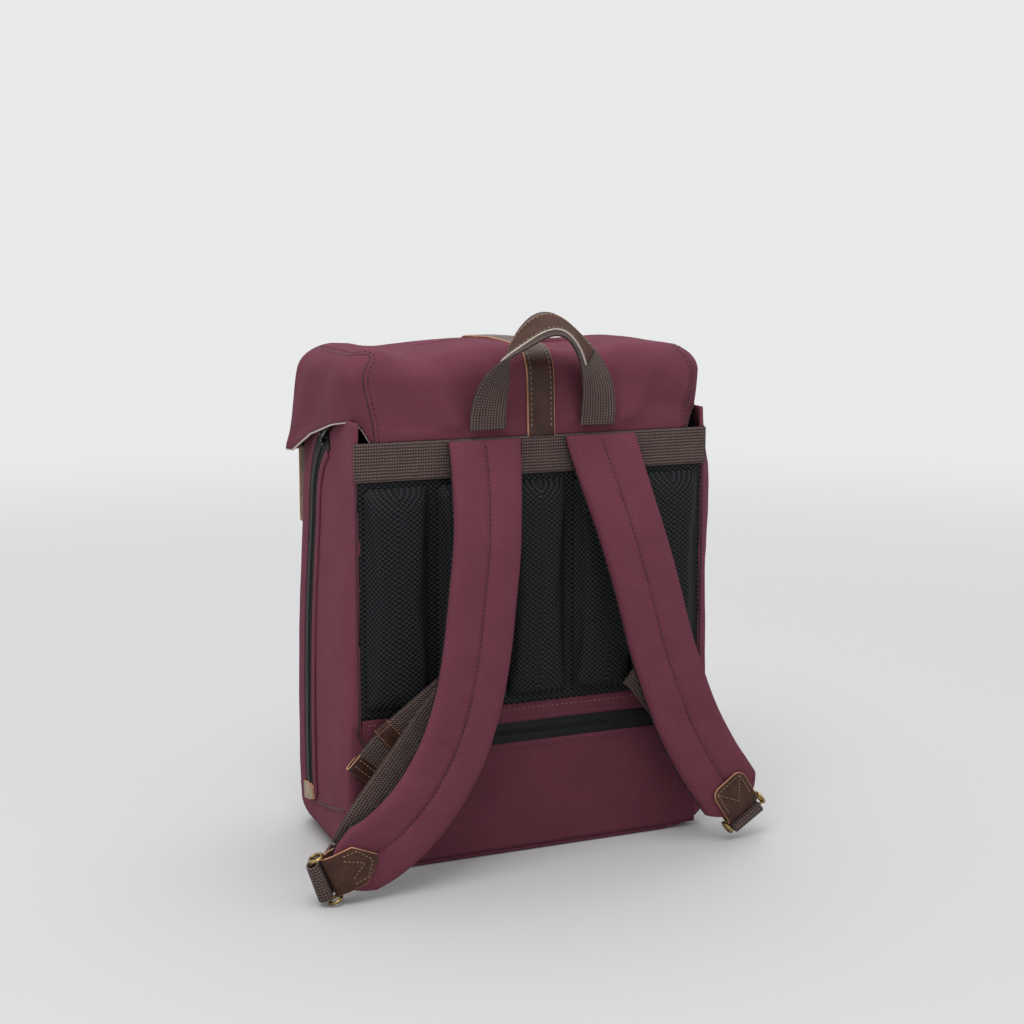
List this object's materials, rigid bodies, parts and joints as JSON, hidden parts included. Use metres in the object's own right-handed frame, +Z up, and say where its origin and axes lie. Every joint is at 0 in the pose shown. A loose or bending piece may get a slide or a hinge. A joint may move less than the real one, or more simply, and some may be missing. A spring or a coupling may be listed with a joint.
{
  "type": "travel backpack",
  "caption": "Canvas travel backpack with a hooded lid, padded mesh back, two shoulder straps, grab handle and zipped pockets.",
  "frame": {"origin": "middle of the flat base, on the surface the bag stands on", "axes": "+Z up, -Y out of the harness side, +X to the right of someone facing the harness side"},
  "size_m": [0.3985, 0.234, 0.4405],
  "materials": {
    "canvas": "fine twill canvas, matt",
    "lining": "plain woven polyester",
    "lid_lining": "brushed lining",
    "board": "matt board",
    "mesh": "black 3-D spacer mesh",
    "webbing": "coarse ribbed webbing",
    "leather": "dark brown, satin, tan cut edges",
    "tan_leather": "tan suede",
    "binding": "off-white cut edge",
    "zip_tape": "fine black tape",
    "zip_coil": "black nylon coil",
    "zip_metal": "black lacquer",
    "brass": "antique brass",
    "foam": "closed-cell foam"
  },
  "bodies": {
    "pack": {"base_panel": "canvas", "base_piping": "canvas", "main_shell": "canvas", "lining": "lining", "frame_sheet": "board", "laptop_sleeve": "lining", "back_panel": "canvas", "back_mesh": "mesh", "back_band": "webbing", "back_pad_1": "mesh", "back_pad_2": "mesh", "back_pad_3": "mesh", "back_pad_4": "mesh", "back_pad_5": "mesh", "pocket_zip_tape": "zip_tape", "pocket_zip_coil": "zip_coil", "side_zip_tape": "zip_tape", "side_zip_coil": "zip_coil", "side_zip_patch": "leather", "front_pocket": "canvas", "front_zip_tape": "zip_tape", "front_zip_coil": "zip_coil", "snap_stud": "brass", "anchor_left": "canvas", "anchor_right": "canvas", "webbing_left": "webbing", "web_tip_left": "leather", "webbing_right": "webbing", "web_tip_right": "leather"},
    "lid": {"lid_shell": "canvas", "lid_lining": "lid_lining", "lid_binding": "binding", "lid_strap": "leather", "snap_cap": "brass", "corner_tab_left": "tan_leather", "corner_tab_right": "tan_leather"},
    "handle": {"handle_webbing": "webbing", "handle_leather": "leather"},
    "strap_left": {"strap_left_cover": "canvas", "strap_left_foam": "foam", "strap_left_mesh": "mesh", "strap_left_tab": "leather"},
    "strap_right": {"strap_right_cover": "canvas", "strap_right_foam": "foam", "strap_right_mesh": "mesh", "strap_right_tab": "leather"},
    "buckle_left": {"buckle_left": "brass"},
    "buckle_right": {"buckle_right": "brass"},
    "keeper_left": {"keeper_left": "leather"},
    "keeper_right": {"keeper_right": "leather"},
    "pocket_slider": {"pocket_slider": "zip_metal"},
    "pocket_pull": {"pocket_pull": "zip_metal"},
    "side_slider": {"side_slider": "zip_metal", "side_pull": "zip_metal"},
    "front_slider": {"front_slider": "zip_metal"},
    "front_pull": {"front_pull": "zip_metal"}
  },
  "joints": [
    {"name": "lid_hinge", "type": "hinge", "parent": "pack", "child": "lid", "pos_m": [0, -0.078, 0.3473], "axis": [1, 0, 0], "range_deg": [0, 90]},
    {"name": "handle_fold", "type": "hinge", "parent": "lid", "child": "handle", "pos_m": [0.004, -0.081, 0.3496], "axis": [-1, 0, 0], "range_deg": [-60, 0]},
    {"name": "strap_left_swing", "type": "hinge", "parent": "pack", "child": "strap_left", "pos_m": [-0.0455, -0.07825, 0.3415], "axis": [-1, 0, 0], "range_deg": [0, 25], "deforming": ["webbing_left"]},
    {"name": "strap_right_swing", "type": "hinge", "parent": "pack", "child": "strap_right", "pos_m": [0.0535, -0.07825, 0.3415], "axis": [-1, 0, 0], "range_deg": [0, 25], "deforming": ["webbing_right"]},
    {"name": "buckle_left_tilt", "type": "hinge", "parent": "strap_left", "child": "buckle_left", "pos_m": [-0.18806, -0.1238, 0.02366], "axis": [0.3823, -0.001, -0.924], "range_deg": [-12, 12]},
    {"name": "buckle_right_tilt", "type": "hinge", "parent": "strap_right", "child": "buckle_right", "pos_m": [0.1689, -0.11658, 0.02595], "axis": [-0.8126, 0, -0.5828], "range_deg": [-12, 12]},
    {"name": "keeper_left_slide", "type": "slide", "parent": "pack", "child": "keeper_left", "axis": [0.7606, -0.1156, 0.6389], "range_m": [0, 0.008]},
    {"name": "keeper_right_slide", "type": "slide", "parent": "pack", "child": "keeper_right", "axis": [-0.7606, -0.1156, 0.6389], "range_m": [0, 0.008]},
    {"name": "pocket_zip_slide", "type": "slide", "parent": "pack", "child": "pocket_slider", "axis": [1, 0, 0], "range_m": [0, 0.17]},
    {"name": "pocket_pull_flip", "type": "hinge", "parent": "pocket_slider", "child": "pocket_pull", "pos_m": [-0.092, -0.0789, 0.102], "axis": [0, 0, -1], "range_deg": [0, 75]},
    {"name": "side_zip_turn", "type": "hinge", "parent": "pack", "child": "side_slider", "pos_m": [-0.15247, -0.036, 0.29], "axis": [0.9996, 0, -0.0285], "range_deg": [-58, 0]},
    {"name": "front_zip_slide", "type": "slide", "parent": "pack", "child": "front_slider", "axis": [1, 0, 0], "range_m": [0, 0.16]},
    {"name": "front_pull_flip", "type": "hinge", "parent": "front_slider", "child": "front_pull", "pos_m": [-0.092, 0.0992, 0.184], "axis": [0, 0, 1], "range_deg": [0, 75]}
  ]
}
